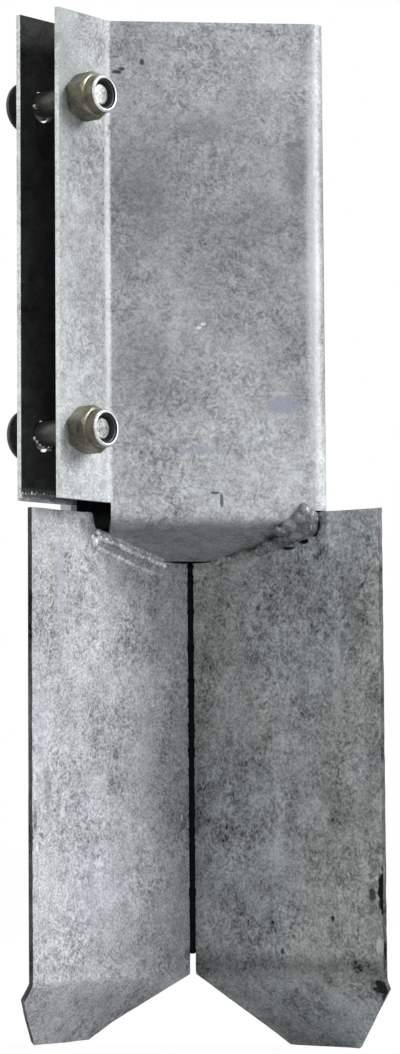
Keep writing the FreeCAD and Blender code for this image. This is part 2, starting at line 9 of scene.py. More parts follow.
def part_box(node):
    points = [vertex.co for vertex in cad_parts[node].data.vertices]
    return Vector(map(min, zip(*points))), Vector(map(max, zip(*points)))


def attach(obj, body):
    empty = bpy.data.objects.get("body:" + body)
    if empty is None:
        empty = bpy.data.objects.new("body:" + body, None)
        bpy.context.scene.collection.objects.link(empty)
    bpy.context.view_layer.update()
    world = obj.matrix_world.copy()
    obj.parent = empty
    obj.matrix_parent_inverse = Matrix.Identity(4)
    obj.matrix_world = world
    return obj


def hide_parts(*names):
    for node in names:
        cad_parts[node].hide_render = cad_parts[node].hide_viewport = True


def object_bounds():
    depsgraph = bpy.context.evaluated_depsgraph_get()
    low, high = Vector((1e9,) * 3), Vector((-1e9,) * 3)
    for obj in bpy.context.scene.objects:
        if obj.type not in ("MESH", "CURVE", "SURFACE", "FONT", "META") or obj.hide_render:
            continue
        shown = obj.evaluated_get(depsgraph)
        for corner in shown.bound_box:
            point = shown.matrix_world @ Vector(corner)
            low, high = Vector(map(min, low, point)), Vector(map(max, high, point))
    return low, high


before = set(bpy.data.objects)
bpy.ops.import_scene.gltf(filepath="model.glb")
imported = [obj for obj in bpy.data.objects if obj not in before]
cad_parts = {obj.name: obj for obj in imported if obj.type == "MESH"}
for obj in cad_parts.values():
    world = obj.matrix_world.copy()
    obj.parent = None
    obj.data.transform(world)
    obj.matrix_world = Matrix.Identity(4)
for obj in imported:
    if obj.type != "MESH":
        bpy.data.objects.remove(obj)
cad_box = [list(corner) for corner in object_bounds()]

# --------------------------------------------------------------------------------------------
# The sleeve.  One 2 mm sheet of steel, folded into a square tube whose two ends turn out as
# clamping flanges, with four tabs folded in as a sloping floor.  It was punched and folded
# first and dipped in zinc afterwards, so the zinc is mottled and rounds every cut edge.
# --------------------------------------------------------------------------------------------
DIAGONAL = Vector((-1, -1, 0)).normalized()
CROSSWISE = Vector((1, -1, 0)).normalized()


def merged_copy(name):
    """A CAD node's surface with its loose triangles joined into whole flat faces."""
    surface = bmesh.new()
    surface.from_mesh(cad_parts[name].data)
    bmesh.ops.remove_doubles(surface, verts=surface.verts, dist=1e-6)
    bmesh.ops.dissolve_limit(surface, angle_limit=math.radians(0.3), verts=surface.verts,
                             edges=surface.edges)
    return surface


def sharp_edges(surface, least=50):
    """The edges where two faces meet at more than so many degrees."""
    return [edge for edge in surface.edges
            if len(edge.link_faces) == 2 and edge.calc_face_angle(0) > math.radians(least)]


def round_off(surface, edges, width, material=-1, steps=2):
    """Round edges, and give the rounding a material of its own if one is named."""
    bmesh.ops.bevel(surface, geom=edges, offset=width, offset_type="OFFSET", segments=steps,
                    profile=0.5, affect="EDGES", clamp_overlap=True, material=material)


def make_piece(name, surface, *skins):
    """Turn a surface into a finished object in its place, smooth except over sharp turns."""
    for face in surface.faces:
        face.smooth = True
    mesh = bpy.data.meshes.new(name)
    surface.to_mesh(mesh)
    surface.free()
    for skin in skins:
        mesh.materials.append(skin)
    mesh.set_sharp_from_angle(angle=math.radians(38))
    thing = bpy.data.objects.new(name, mesh)
    bpy.context.scene.collection.objects.link(thing)
    weigh = thing.modifiers.new("even_shading", "WEIGHTED_NORMAL")
    weigh.keep_sharp = True
    settle(thing)
    return thing


def settle(thing):
    """Keep what an object's modifiers make as its own plain mesh."""
    graph = bpy.context.evaluated_depsgraph_get()
    mesh = bpy.data.meshes.new_from_object(thing.evaluated_get(graph), depsgraph=graph,
                                           preserve_all_data_layers=True)
    mesh.name = thing.name
    thing.modifiers.clear()
    thing.data = mesh


def add(tree, kind, settings=None, **inputs):
    """Add a node.  An input takes a value, or the output of another node; _0 means the first."""
    made = tree.nodes.new(kind)
    for name, value in (settings or {}).items():
        setattr(made, name, value)
    for name, value in inputs.items():
        socket = made.inputs[int(name[1:]) if name[0] == "_" else name.replace("_", " ")]
        if isinstance(value, bpy.types.NodeSocket):
            tree.links.new(value, socket)
        else:
            socket.default_value = value
    return made


def calc(tree, operation, first, second=0.0, third=0.0):
    return add(tree, "ShaderNodeMath", {"operation": operation}, _0=first, _1=second,
               _2=third).outputs[0]


def vector_calc(tree, operation, first, second):
    found = add(tree, "ShaderNodeVectorMath", {"operation": operation}, _0=first, _1=second)
    return found.outputs["Value" if operation in ("LENGTH", "DOT_PRODUCT") else "Vector"]


def spread(tree, value, low, high, to_low=-1.0, to_high=1.0, kind="LINEAR"):
    """Stretch one range of values over another, and hold it there."""
    return add(tree, "ShaderNodeMapRange", {"interpolation_type": kind, "clamp": True},
               Value=value, From_Min=low, From_Max=high, To_Min=to_low, To_Max=to_high).outputs[0]


def clouds(tree, place, fineness, detail=2.0, turn=0.0):
    return add(tree, "ShaderNodeTexNoise", None, Vector=place, Scale=fineness, Detail=detail,
               Distortion=turn).outputs["Fac"]


def mix_colours(tree, share, first, second, kind="MIX"):
    made = add(tree, "ShaderNodeMix", {"data_type": "RGBA", "blend_type": kind})
    for slot, value in ((0, share), (6, first), (7, second)):
        if isinstance(value, bpy.types.NodeSocket):
            tree.links.new(value, made.inputs[slot])
        else:
            made.inputs[slot].default_value = value
    return made.outputs[2]


def make_zinc_group():
    """Hot-dip zinc: soft clouds, patches of coarse worm-like speckle, fine grain, runs."""
    group = bpy.data.node_groups.new("zinc_skin", "ShaderNodeTree")
    for label, kind, value in (
            ("Place", "NodeSocketVector", None), ("Colour", "NodeSocketColor", (0.5, 0.5, 0.5, 1)),
            ("Tint", "NodeSocketColor", (0.5, 0.5, 0.5, 1)), ("Cloud", "NodeSocketFloat", 0.1),
            ("Speckle", "NodeSocketFloat", 0.2), ("Fineness", "NodeSocketFloat", 620.0),
            ("Runs", "NodeSocketFloat", 0.0)):
        socket = group.interface.new_socket(label, in_out="INPUT", socket_type=kind)
        if value is not None:
            socket.default_value = value
    for label, kind in (("Colour", "NodeSocketColor"), ("Roughness", "NodeSocketFloat"),
                        ("Height", "NodeSocketFloat")):
        group.interface.new_socket(label, in_out="OUTPUT", socket_type=kind)
    given = group.nodes.new("NodeGroupInput").outputs
    place = given["Place"]
    drift = vector_calc(group, "ADD", place, (0.31, 0.17, 0.05))
    cloud = spread(group, clouds(group, place, 24.0, 4.0, 0.4), 0.32, 0.68)
    blot = spread(group, clouds(group, drift, 110.0, 3.0, 0.5), 0.3, 0.7)
    smudge = spread(group, clouds(group, place, 230.0, 2.0, 0.7), 0.3, 0.7)
    patch = spread(group, clouds(group, drift, 42.0, 4.0, 0.6), 0.36, 0.64, 0.25, 1.0, "SMOOTHSTEP")
    dots = spread(group, clouds(group, place, given["Fineness"], 2.5, 0.5), 0.3, 0.7)
    coarse = calc(group, "MULTIPLY", given["Fineness"], 0.5)
    fold = calc(group, "ABSOLUTE", spread(group, clouds(group, drift, coarse, 1.5, 0.8), 0.3, 0.7))
    lines = calc(group, "MULTIPLY_ADD", fold, -2.4, 0.75)
    worm = calc(group, "MULTIPLY_ADD", lines, 0.6, calc(group, "MULTIPLY", dots, 0.5))
    worm = calc(group, "MULTIPLY", calc(group, "TANH", calc(group, "MULTIPLY", worm, 1.3)), 0.6)
    double = calc(group, "MULTIPLY", given["Fineness"], 2.1)
    grain = spread(group, clouds(group, drift, double, 1.0), 0.3, 0.7)
    tall = vector_calc(group, "MULTIPLY", place, (1.0, 1.0, 0.06))
    run = spread(group, clouds(group, tall, 150.0, 3.0), 0.3, 0.7)
    hue = spread(group, clouds(group, drift, 17.0, 2.0, 0.5), 0.42, 0.62, 0.0, 1.0, "SMOOTHSTEP")
    speck = calc(group, "MULTIPLY", calc(group, "MULTIPLY", worm, patch), given["Speckle"])
    value = calc(group, "MULTIPLY_ADD", cloud, given["Cloud"], 1.0)
    value = calc(group, "MULTIPLY_ADD", blot, calc(group, "MULTIPLY", given["Cloud"], 0.9), value)
    value = calc(group, "MULTIPLY_ADD", smudge, calc(group, "MULTIPLY", given["Cloud"], 0.7),
                 value)
    value = calc(group, "ADD", value, speck)
    fine = calc(group, "MULTIPLY", grain, given["Speckle"])
    value = calc(group, "MULTIPLY_ADD", fine, 0.45, value)
    value = calc(group, "MULTIPLY_ADD", run, given["Runs"], value)
    value = calc(group, "MAXIMUM", value, 0.05)
    tinted = mix_colours(group, hue, given["Colour"], given["Tint"])
    shade = add(group, "ShaderNodeCombineXYZ", None, X=value, Y=value, Z=value).outputs[0]
    result = mix_colours(group, 1.0, tinted, shade, "MULTIPLY")
    out = group.nodes.new("NodeGroupOutput")
    group.links.new(result, out.inputs["Colour"])
    rough = calc(group, "MULTIPLY_ADD", worm, 0.05, calc(group, "MULTIPLY_ADD", cloud, -0.05, 0.5))
    group.links.new(rough, out.inputs["Roughness"])
    height = calc(group, "MULTIPLY_ADD", grain, 0.2, calc(group, "MULTIPLY", worm, patch))
    group.links.new(height, out.inputs["Height"])
    return group


def make_mark_group():
    """A ragged patch round a place: a stain, a scrape, a pit, a splash of zinc, painted shade, a
    painted highlight.
    """
    group = bpy.data.node_groups.new("mark", "ShaderNodeTree")
    for label in ("Place", "Centre", "Reach"):
        group.interface.new_socket(label, in_out="INPUT", socket_type="NodeSocketVector")
    for label, value in (("Ragged", 0.5), ("Soft", 0.5), ("Strength", 1.0)):
        socket = group.interface.new_socket(label, in_out="INPUT", socket_type="NodeSocketFloat")
        socket.default_value = value
    group.interface.new_socket("Mask", in_out="OUTPUT", socket_type="NodeSocketFloat")
    given = group.nodes.new("NodeGroupInput").outputs
    offset = vector_calc(group, "SUBTRACT", given["Place"], given["Centre"])
    scaled = vector_calc(group, "DIVIDE", offset, given["Reach"])
    away = vector_calc(group, "LENGTH", scaled, (0.0, 0.0, 0.0))
    rag = calc(group, "SUBTRACT", clouds(group, given["Place"], 480.0, 2.0), 0.5)
    away = calc(group, "MULTIPLY_ADD", rag, given["Ragged"], away)
    inner = calc(group, "SUBTRACT", 1.0, given["Soft"])
    mask = spread(group, away, inner, 1.0, 1.0, 0.0, "SMOOTHSTEP")
    mask = calc(group, "MULTIPLY", mask, given["Strength"])
    out = group.nodes.new("NodeGroupOutput")
    group.links.new(mask, out.inputs["Mask"])
    return group


zinc_group = make_zinc_group()
mark_group = make_mark_group()


def dip_in_zinc(name, colour, tint, cloud=0.1, speckle=0.2, fineness=620.0, runs=0.0, marks=(),
                bands=(), stray=0.002, relief=0.00012, metal=0.15, gloss=0.5):
    """A zinc finish.  Marks are (centre, reach, colour, strength, ragged, soft), in metres;
    bands are (level, factor) pairs that lighten or darken the finish from the foot up."""
    skin = bpy.data.materials.new(name)
    skin.use_nodes = True
    tree = skin.node_tree
    shader = tree.nodes["Principled BSDF"]
    place = add(tree, "ShaderNodeTexCoord").outputs["Object"]
    zinc = add(tree, "ShaderNodeGroup", {"node_tree": zinc_group}, Place=place,
               Colour=(*colour, 1), Tint=(*tint, 1), Cloud=cloud, Speckle=speckle,
               Fineness=fineness, Runs=runs)
    paint = zinc.outputs["Colour"]
    if bands:
        level = add(tree, "ShaderNodeSeparateXYZ", None, Vector=place).outputs["Z"]
        wander = calc(tree, "MULTIPLY_ADD", clouds(tree, place, 60.0, 2.0), stray, -stray / 2)
        first, last = bands[0][0], bands[-1][0]
        share = spread(tree, calc(tree, "ADD", level, wander), first, last, 0.0, 1.0)
        ramp = add(tree, "ShaderNodeValToRGB", None, Fac=share)
        stops = ramp.color_ramp.elements
        while len(stops) < len(bands):
            stops.new(0.5)
        for stop, (height, factor) in zip(stops, bands):
            stop.position = (height - first) / (last - first)
            stop.color = (factor, factor, factor, 1)
        paint = mix_colours(tree, 1.0, paint, ramp.outputs["Color"], "MULTIPLY")
    for centre, reach, stain, strength, ragged, soft in marks:
        mask = add(tree, "ShaderNodeGroup", {"node_tree": mark_group}, Place=place, Centre=centre,
                   Reach=reach, Ragged=ragged, Soft=soft, Strength=strength).outputs["Mask"]
        paint = mix_colours(tree, mask, paint, (*stain, 1))
    tree.links.new(paint, shader.inputs["Base Color"])
    bright = add(tree, "ShaderNodeRGBToBW", None, Color=paint).outputs[0]
    glint = spread(tree, bright, 0.01, 0.12, 0.04, 0.5)
    tree.links.new(glint, shader.inputs["Specular IOR Level"])
    rough = calc(tree, "ADD", zinc.outputs["Roughness"], gloss - 0.5)
    tree.links.new(rough, shader.inputs["Roughness"])
    shader.inputs["Metallic"].default_value = metal
    bump = add(tree, "ShaderNodeBump", None, Strength=0.6, Distance=relief,
               Height=zinc.outputs["Height"])
    tree.links.new(bump.outputs["Normal"], shader.inputs["Normal"])
    return skin


WALL = -0.0482
sleeve_marks_and_painted_light = [
    ((0.0308, WALL, 0.0447), (0.008, 0.02, 0.0042), (0.36, 0.38, 0.48), 0.75, 0.5, 0.5),
    ((0.0300, WALL, 0.0490), (0.006, 0.02, 0.0009), (0.66, 0.68, 0.7), 0.6, 0.5, 0.6),
    ((-0.0005, WALL, 0.0274), (0.009, 0.02, 0.0024), (0.4, 0.42, 0.52), 0.7, 0.6, 0.6),
    ((0.0012, WALL, 0.0752), (0.0014, 0.02, 0.0008), (0.9, 0.92, 0.94), 0.9, 0.5, 0.6),
    ((-0.0006, WALL, 0.0738), (0.0016, 0.02, 0.0009), (0.9, 0.92, 0.94), 0.95, 0.5, 0.6),
    ((-0.0016, WALL, 0.0752), (0.0010, 0.02, 0.0020), (0.2, 0.21, 0.22), 0.6, 0.8, 0.6),
    ((0.0029, WALL, 0.0655), (0.0016, 0.02, 0.005), (0.62, 0.64, 0.66), 0.6, 0.6, 0.8),
    ((-0.0215, WALL, 0.1753), (0.0011, 0.02, 0.0014), (0.05, 0.07, 0.07), 0.95, 0.5, 0.4),
    ((-0.0312, WALL, 0.1714), (0.0022, 0.02, 0.0009), (0.04, 0.05, 0.05), 0.95, 0.9, 0.4),
    ((-0.0292, WALL, 0.1726), (0.0016, 0.02, 0.0009), (0.06, 0.07, 0.07), 0.95, 0.9, 0.4),
    ((-0.0341, WALL, 0.1500), (0.0010, 0.02, 0.0018), (0.1, 0.11, 0.12), 0.85, 0.7, 0.5),
    ((-0.0345, WALL, 0.1475), (0.0010, 0.02, 0.0014), (0.1, 0.11, 0.12), 0.85, 0.7, 0.5),
    ((0.0077, WALL, 0.0083), (0.0009, 0.02, 0.0036), (0.1, 0.11, 0.12), 0.9, 0.5, 0.5),
    ((0.0052, WALL, 0.0112), (0.0022, 0.02, 0.0007), (0.1, 0.11, 0.12), 0.9, 0.5, 0.5),
    ((-0.02, WALL, 0.125), (0.020, 0.02, 0.025), (0.16, 0.165, 0.17), 0.45, 0.9, 0.95),
    ((-0.022, WALL, 0.06), (0.02, 0.02, 0.022), (0.2, 0.21, 0.22), 0.4, 0.9, 0.95),
    ((0.037, WALL, 0.135), (0.007, 0.02, 0.022), (0.15, 0.16, 0.16), 0.5, 1.2, 0.8),
    ((0.004, WALL, 0.150), (0.026, 0.02, 0.010), (0.2, 0.21, 0.215), 0.4, 1.0, 0.95),
    ((0.020, WALL, 0.112), (0.022, 0.02, 0.018), (0.22, 0.225, 0.23), 0.3, 1.0, 0.95),
    # The bright strip down the front wall by the right corner is a painted highlight.
    ((0.0435, WALL, 0.095), (0.004, 0.004, 0.13), (0.85, 0.87, 0.88), 0.7, 0.4, 0.8),
    # The darker band on the right wall and the near-black line at the right corner's far side are
    # painted shade.
    ((0.0485, -0.0300, 0.095), (0.0014, 0.0125, 0.16), (0.3, 0.31, 0.32), 0.6, 0.2, 0.3),
    ((0.0486, -0.0438, 0.095), (0.0013, 0.0036, 0.16), (0.012, 0.013, 0.014), 1.0, 0.15, 0.3),
    # The bright strip by the left bend, between the front wall and the flange, is a painted
    # highlight.
    ((-0.0352, WALL, 0.095), (0.0020, 0.004, 0.13), (0.8, 0.82, 0.83), 0.5, 0.3, 0.8),
    ((-0.0560, -0.0680, 0.165), (0.02, 0.02, 0.06), (0.28, 0.31, 0.31), 0.55, 0.4, 0.9),
]
outside_zinc = dip_in_zinc(
    "sleeve_zinc", (0.43, 0.45, 0.46), (0.44, 0.455, 0.47), cloud=0.2, speckle=0.5,
    fineness=560.0, marks=sleeve_marks_and_painted_light, relief=0.00014,
    # Below the wall's foot the bands paint shade on the tabs' undersides; above it they lighten the
    # foot of the wall and darken its upper part.
    bands=((-0.012, 0.62), (-0.002, 0.66), (0.0015, 1.1), (0.008, 1.32), (0.02, 1.16),
           (0.05, 0.96), (0.09, 0.81), (0.14, 0.77), (0.165, 1.0), (0.191, 1.04)))
# The inside faces, the faces within the clamp's gap and the back flange's inner face are coloured
# near-black as painted shade, darker still at the foot; the lighter band from 7 to 10 mm up is zinc
# residue along the back flange's foot.
inside_painted_shade_zinc = dip_in_zinc(
    "sleeve_inside_zinc", (0.04, 0.043, 0.04), (0.033, 0.035, 0.038), cloud=0.3, speckle=0.3,
    metal=0.0, gloss=0.75,
    bands=((-0.012, 0.25), (0.004, 0.3), (0.0072, 12.0), (0.0098, 6.0), (0.0125, 1.5), (0.19, 0.9)))
# Clean zinc: on the flanges' ends, the frill and the beads it is the zinc's own colour; on the
# blades' cut edges beside the spine and on the nuts' lips it is a painted highlight.
clean_zinc_and_highlight = dip_in_zinc(
    "clean_zinc_and_painted_highlight", (0.74, 0.76, 0.76), (0.64, 0.66, 0.67), cloud=0.15, speckle=0.4, metal=0.85,
    gloss=0.42)

FLANGES_START, FLANGES_END, EDGE_ROUNDING = 0.0635, 0.084, 0.00035
sheet = merged_copy("sleeve")
round_off(sheet, sharp_edges(sheet), EDGE_ROUNDING)
sheet.normal_update()
for face in sheet.faces:
    centre, normal = face.calc_center_median(), face.normal
    out_along, out_across = centre.dot(DIAGONAL), centre.dot(CROSSWISE)
    if out_along > FLANGES_START:
        inward = normal.dot(CROSSWISE) * (1 if out_across < 0 else -1) > 0.55
    else:
        inward = centre.x * normal.x + centre.y * normal.y < -1e-4 or (
            normal.z > 0.4 and centre.z < 0.006)
    # Inward faces take the near-black painted shade.
    face.material_index = 1 if inward else 0
    if out_along > FLANGES_END and normal.dot(DIAGONAL) > 0.3:
        face.material_index = 2
sleeve = make_piece("clamp_sleeve", sheet, outside_zinc, inside_painted_shade_zinc, clean_zinc_and_highlight)
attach(sleeve, "root")
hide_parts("sleeve")

# --------------------------------------------------------------------------------------------
# The blades.  Two 2 mm plates that stand in the concrete.  They were cut with shears and their
# feet bent forward by hand, so the edges wander a little; dark marks lie in the dents.
# --------------------------------------------------------------------------------------------
def on_blade(side, along, level, off=0.001):
    """A place on a blade's front, by its distance from the axis; side is -1 left, 1 right."""
    return Vector((side * (along - off), -(along + off), level * math.sqrt(2))) / math.sqrt(2)


def is_cut(face):
    """A cut edge of the plate: a long narrow face that turns sharply at both long sides."""
    around = sum(edge.calc_length() for edge in face.edges)
    turning = sum(edge.calc_length() for edge in face.edges
                  if len(edge.link_faces) == 2 and edge.calc_face_angle(0) > math.radians(60))
    return face.calc_area() / around < 0.00115 and turning > 0.8 * around


def roughen_outline(surface, most, step, seed):
    """Let the cut edges wander inwards, as shears leave them."""
    cut = [face for face in surface.faces if is_cut(face)]
    for edge in {edge for face in cut for edge in face.edges if edge.calc_length() > 2 * step}:
        parts = int(edge.calc_length() / step)
        bmesh.ops.subdivide_edges(surface, edges=[edge], cuts=parts)
    surface.normal_update()
    shifts = {}
    for face in surface.faces:
        if is_cut(face):
            for corner in face.verts:
                shifts.setdefault(corner, Vector())
                shifts[corner] -= face.normal
    for corner, inward in shifts.items():
        spot = Vector((corner.co.x, 0, corner.co.z)) * 90 + Vector((seed, 0, 0))
        wave = 0.5 + 0.5 * noise.noise(spot) + 0.35 * noise.noise(spot * 4)
        corner.co += inward.normalized() * most * min(1, max(0, wave))


WANDER_MOST, WANDER_STEP, SHEARED_ROUNDING, CORE_RADIUS = 0.0005, 0.003, 0.0006, 0.0022


def make_blade(side, name, node, seed, *skins):
    """A blade from its CAD node, with rounded, wandering edges in a duller finish, and a painted
    highlight on the cut edges beside the spine.
    """
    plate = merged_copy(node)
    roughen_outline(plate, WANDER_MOST, WANDER_STEP, seed)
    for face in plate.faces:
        face.material_index = 1 if is_cut(face) else 0
    round_off(plate, sharp_edges(plate), SHEARED_ROUNDING, 1, 1)
    plate.normal_update()
    # Cut edges beside the spine take the clean zinc as a painted highlight.
    facing = Vector((-side, -1, 0)).normalized()
    for face in plate.faces:
        centre = face.calc_center_median()
        if Vector((centre.x, centre.y)).length < CORE_RADIUS and face.normal.dot(facing) > 0.2:
            face.material_index = 2 if face.material_index else 0
    blade = make_piece(name, plate, *skins)
    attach(blade, "root")
    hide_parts(node)


def blade_marks(side, rows):
    """Marks on a blade, from rows of distance from the axis, level, width, height, colour,
    strength, ragged and soft."""
    return [(on_blade(side, along, level), (width * 0.7, width * 0.7, height), stain, strength,
             ragged, soft) for along, level, width, height, stain, strength, ragged, soft in rows]


LILAC, SLATE = (0.47, 0.48, 0.57), (0.2, 0.21, 0.27)
BLACK, CHALK = (0.012, 0.012, 0.012), (0.85, 0.86, 0.88)
left_zinc = dip_in_zinc(
    "left_blade_zinc", (0.5, 0.51, 0.53), (0.48, 0.49, 0.53), cloud=0.17, speckle=0.68,
    fineness=560.0, runs=0.05, relief=0.00014,
    marks=blade_marks(-1, (
        (0.077, -0.025, 0.006, 0.03, LILAC, 0.55, 0.7, 0.9),
        (0.088, -0.085, 0.006, 0.03, LILAC, 0.5, 0.9, 0.9),
        (0.060, -0.135, 0.003, 0.026, LILAC, 0.6, 0.8, 0.8),
        (0.028, -0.090, 0.010, 0.05, CHALK, 0.14, 0.9, 0.9),
        (0.084, -0.100, 0.004, 0.014, SLATE, 0.5, 1.2, 0.7),
        (0.091, -0.110, 0.002, 0.007, BLACK, 0.6, 1.0, 0.6),
        (0.0224, -0.0312, 0.0012, 0.0012, (0.1, 0.12, 0.12), 0.8, 0.5, 0.5),
        (0.0900, -0.1210, 0.0013, 0.0014, CHALK, 1.0, 0.5, 0.4),
        (0.0070, -0.1105, 0.0012, 0.0014, CHALK, 0.9, 0.5, 0.4),
        (0.076, -0.108, 0.003, 0.003, CHALK, 0.6, 0.7, 0.7),
        (0.050, -0.155, 0.008, 0.006, CHALK, 0.35, 0.9, 0.9),
        (0.085, -0.190, 0.005, 0.0028, CHALK, 0.95, 0.7, 0.4),
        (0.064, -0.0005, 0.004, 0.004, (0.1, 0.1, 0.11), 0.6, 0.7, 0.7))),
    # The bands darken the bent foot, which faces downwards, as painted shade.
    bands=((-0.194, 0.78), (-0.178, 0.8), (-0.168, 1.1), (-0.12, 1.12), (-0.06, 1.04), (0.0, 0.97)))
right_zinc = dip_in_zinc(
    "right_blade_zinc", (0.44, 0.455, 0.44), (0.42, 0.45, 0.46), cloud=0.24, speckle=0.72,
    fineness=500.0, runs=0.13, relief=0.00015,
    marks=blade_marks(1, (
        # The two pale streaks by the spine are a painted highlight.
        (0.0023, -0.050, 0.0005, 0.04, CHALK, 0.8, 0.5, 0.5),
        (0.0023, -0.120, 0.0006, 0.035, CHALK, 0.9, 0.6, 0.5),
        (0.072, -0.050, 0.003, 0.014, (0.6, 0.62, 0.6), 0.55, 1.0, 0.8),
        (0.073, -0.068, 0.003, 0.012, (0.6, 0.62, 0.6), 0.55, 1.0, 0.8),
        (0.078, -0.078, 0.003, 0.006, (0.6, 0.62, 0.6), 0.5, 1.0, 0.8),
        (0.080, -0.03, 0.006, 0.02, (0.3, 0.32, 0.29), 0.5, 1.0, 0.9),
        (0.0345, -0.031, 0.0018, 0.0013, BLACK, 0.75, 0.6, 0.5),
        (0.0200, -0.0293, 0.0012, 0.0012, BLACK, 0.6, 0.6, 0.5),
        (0.0067, -0.042, 0.0009, 0.0018, BLACK, 0.55, 0.6, 0.5),
        (0.0687, -0.0557, 0.0014, 0.0014, BLACK, 0.5, 0.6, 0.5),
        (0.0655, -0.100, 0.006, 0.01, (0.3, 0.31, 0.26), 0.5, 0.9, 0.9),
        (0.0689, -0.1482, 0.0013, 0.0013, BLACK, 0.95, 0.5, 0.4),
        (0.0548, -0.1525, 0.0016, 0.0012, BLACK, 0.5, 0.8, 0.6),
        (0.0451, -0.1610, 0.0014, 0.0015, BLACK, 0.85, 0.5, 0.4),
        (0.0925, -0.138, 0.0042, 0.0100, BLACK, 1.0, 1.0, 0.35),
        (0.0875, -0.1393, 0.0034, 0.0035, BLACK, 0.85, 1.2, 0.5),
        # The row of black marks under the seam's mound is painted shadow.
        (0.0370, -0.0096, 0.0060, 0.0009, BLACK, 0.9, 0.9, 0.5),
        (0.0500, -0.0088, 0.0060, 0.0009, BLACK, 0.95, 0.8, 0.5),
        (0.0570, -0.0066, 0.0045, 0.0013, BLACK, 1.0, 0.8, 0.5),
        (0.0620, -0.0038, 0.0035, 0.0016, BLACK, 1.0, 0.8, 0.5),
        (0.0642, -0.0008, 0.0016, 0.0028, BLACK, 0.9, 0.8, 0.5),
        (0.0260, -0.0145, 0.0040, 0.0010, (0.7, 0.71, 0.7), 0.6, 1.2, 0.6),
        (0.0185, -0.0138, 0.0022, 0.0012, (0.7, 0.71, 0.7), 0.7, 1.2, 0.6),
        # The darker patch under the seam is painted shade.
        (0.0380, -0.0170, 0.0150, 0.0050, (0.2, 0.21, 0.2), 0.35, 1.2, 0.9),
        (0.0895, -0.1330, 0.0012, 0.0012, CHALK, 0.7, 0.7, 0.5),
        (0.0905, -0.158, 0.003, 0.004, CHALK, 0.65, 1.0, 0.5),
        (0.090, -0.176, 0.0075, 0.0070, BLACK, 0.98, 1.1, 0.4),
        (0.0745, -0.186, 0.0012, 0.0012, BLACK, 0.9, 0.5, 0.4),
        (0.0655, -0.1905, 0.002, 0.001, BLACK, 0.9, 0.6, 0.5),
        (0.073, -0.1925, 0.0045, 0.0016, CHALK, 0.9, 1.0, 0.4),
        (0.060, -0.192, 0.0045, 0.0014, CHALK, 0.7, 1.0, 0.5))),
    # The dark band at the foot's bend and the darker foot are painted shade; the top is lighter.
    bands=((-0.197, 0.85), (-0.172, 0.82), (-0.1665, 0.5), (-0.161, 1.0), (-0.12, 0.98),
           (-0.06, 0.98), (-0.02, 1.08), (0.0, 1.26)))
# The dark finish of the blades' sheared edges; on the nuts' seat chamfers it is painted shade.
sheared_edge_and_seat_shade = dip_in_zinc(
    "sheared_edge_and_seat_shade", (0.09, 0.093, 0.096), (0.14, 0.145, 0.15), cloud=0.5, speckle=0.8, metal=0.0,
    gloss=0.7)
make_blade(-1, "left_plate", "left_blade", 3.0, left_zinc, sheared_edge_and_seat_shade, clean_zinc_and_highlight)
make_blade(1, "right_plate", "right_blade", 11.0, right_zinc, sheared_edge_and_seat_shade, clean_zinc_and_highlight)

